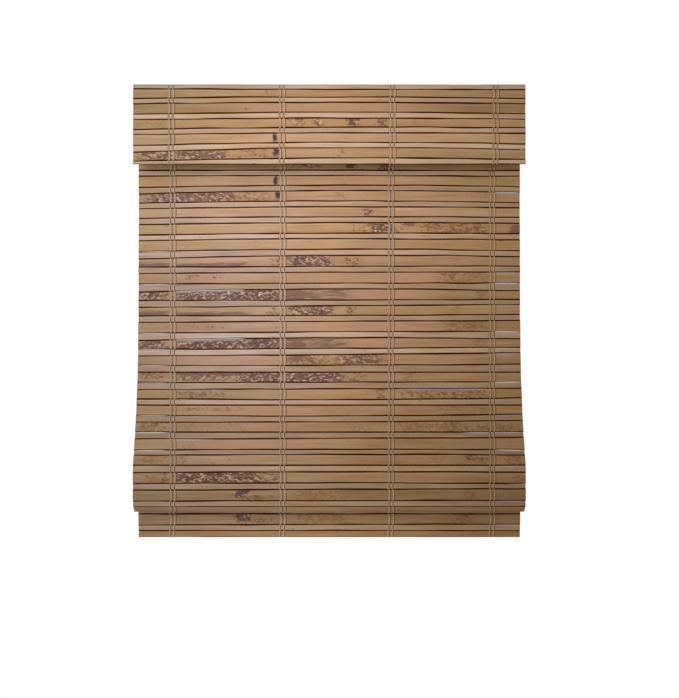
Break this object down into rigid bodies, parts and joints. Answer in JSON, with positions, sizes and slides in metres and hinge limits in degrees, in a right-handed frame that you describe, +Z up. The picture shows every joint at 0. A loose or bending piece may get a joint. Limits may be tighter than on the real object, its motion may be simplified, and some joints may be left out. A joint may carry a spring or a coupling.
{
  "type": "woven wood roman shade",
  "caption": "Cordless roman shade of wide and narrow wood slats woven on threads, with a valance, head rail and spring lift. Its pleats fold forward as it is raised.",
  "frame": {"origin": "centre of the brackets' screw pattern, on the plane of the head jamb that they are screwed to", "axes": "+Z up, +X to the right seen from the room, +Y from the room towards the window"},
  "size_m": [0.75, 0.0728, 0.8742],
  "materials": {
    "slat_wood": "satin stain",
    "dowel_wood": "plain",
    "rail_aluminium": "powder coated",
    "bracket_steel": "zinc plated",
    "shaft_steel": "drawn",
    "spring_steel": "rolled",
    "white_plastic": "moulded",
    "clear_plastic": "moulded",
    "tape_fabric": "hook tape"
  },
  "bodies": {
    "head": {"headrail": "rail_aluminium", "end_cap_left": "white_plastic", "end_cap_right": "white_plastic", "bracket_left": "bracket_steel", "bracket_right": "bracket_steel", "mat_carrier": "rail_aluminium", "cord_eyelets": "bracket_steel", "spool_cradle_left": "white_plastic", "spool_cradle_right": "white_plastic", "motor_housing": "white_plastic", "motor_spring": "spring_steel", "valance": "slat_wood", "valance_tape": "tape_fabric", "upper_mat": "slat_wood", "batten_rod_1": "dowel_wood", "cord_rings_1": "clear_plastic", "pleat_1_upper_leaf": "slat_wood", "pleat_1_nose": "slat_wood", "pleat_1_lower_leaf": "slat_wood", "batten_slat_2": "slat_wood", "batten_rod_2": "dowel_wood", "cord_rings_2": "clear_plastic", "pleat_2_upper_leaf": "slat_wood", "pleat_2_nose": "slat_wood", "pleat_2_lower_leaf": "slat_wood", "batten_slat_3": "slat_wood", "batten_rod_3": "dowel_wood", "cord_rings_3": "clear_plastic"},
    "pleat_3_upper": {"pleat_3_upper_leaf": "slat_wood"},
    "pleat_3_nose": {"pleat_3_nose": "slat_wood"},
    "pleat_3_lower": {"pleat_3_lower_leaf": "slat_wood"},
    "bottom_pleat": {"batten_slat_4": "slat_wood", "batten_rod_4": "dowel_wood", "cord_rings_4": "clear_plastic", "bottom_front_leaf": "slat_wood", "bottom_fold_wide_slat": "slat_wood", "bottom_fold_narrow_slat": "slat_wood", "bottom_return_leaf": "slat_wood", "bottom_over_slat": "slat_wood", "bottom_bridge_slat": "slat_wood", "hem_flap": "slat_wood", "batten_rod_5": "dowel_wood", "cord_rings_5": "clear_plastic", "hem_bar": "shaft_steel", "hem_cap_left": "white_plastic", "hem_cap_right": "white_plastic"},
    "lift": {"lift_shaft": "shaft_steel", "cord_spool_left": "white_plastic", "cord_spool_right": "white_plastic", "output_drum": "white_plastic"},
    "storage": {"storage_drum": "white_plastic"}
  },
  "joints": [
    {"name": "pleat_3_fold", "type": "hinge", "parent": "head", "child": "pleat_3_upper", "pos_m": [0, 0.00854, -0.55027], "axis": [-1, 0, 0], "range_deg": [0, 80]},
    {"name": "pleat_3_nose", "type": "hinge", "parent": "pleat_3_upper", "child": "pleat_3_nose", "pos_m": [0, -0.00201, -0.614], "axis": [-1, 0, 0], "range_deg": [-80, 0]},
    {"name": "pleat_3_return", "type": "hinge", "parent": "pleat_3_nose", "child": "pleat_3_lower", "pos_m": [0, -0.01463, -0.66577], "axis": [-1, 0, 0], "range_deg": [-80, 0]},
    {"name": "pleat_3_batten", "type": "hinge", "parent": "pleat_3_lower", "child": "bottom_pleat", "pos_m": [0, -0.03459, -0.72721], "axis": [-1, 0, 0], "range_deg": [0, 80]},
    {"name": "lift_shaft_turn", "type": "hinge", "parent": "head", "child": "lift", "pos_m": [0, 0.0155, -0.0213], "axis": [1, 0, 0], "continuous": true},
    {"name": "storage_drum_turn", "type": "hinge", "parent": "head", "child": "storage", "pos_m": [0, -0.0055, -0.0213], "axis": [1, 0, 0], "continuous": true}
  ],
  "couplings": [
    {"joint": "pleat_3_nose", "follows": "pleat_3_fold", "ratio": -1},
    {"joint": "pleat_3_return", "follows": "pleat_3_fold", "ratio": -1},
    {"joint": "pleat_3_batten", "follows": "pleat_3_fold", "ratio": 1},
    {"joint": "storage_drum_turn", "follows": "lift_shaft_turn", "ratio": -1}
  ]
}
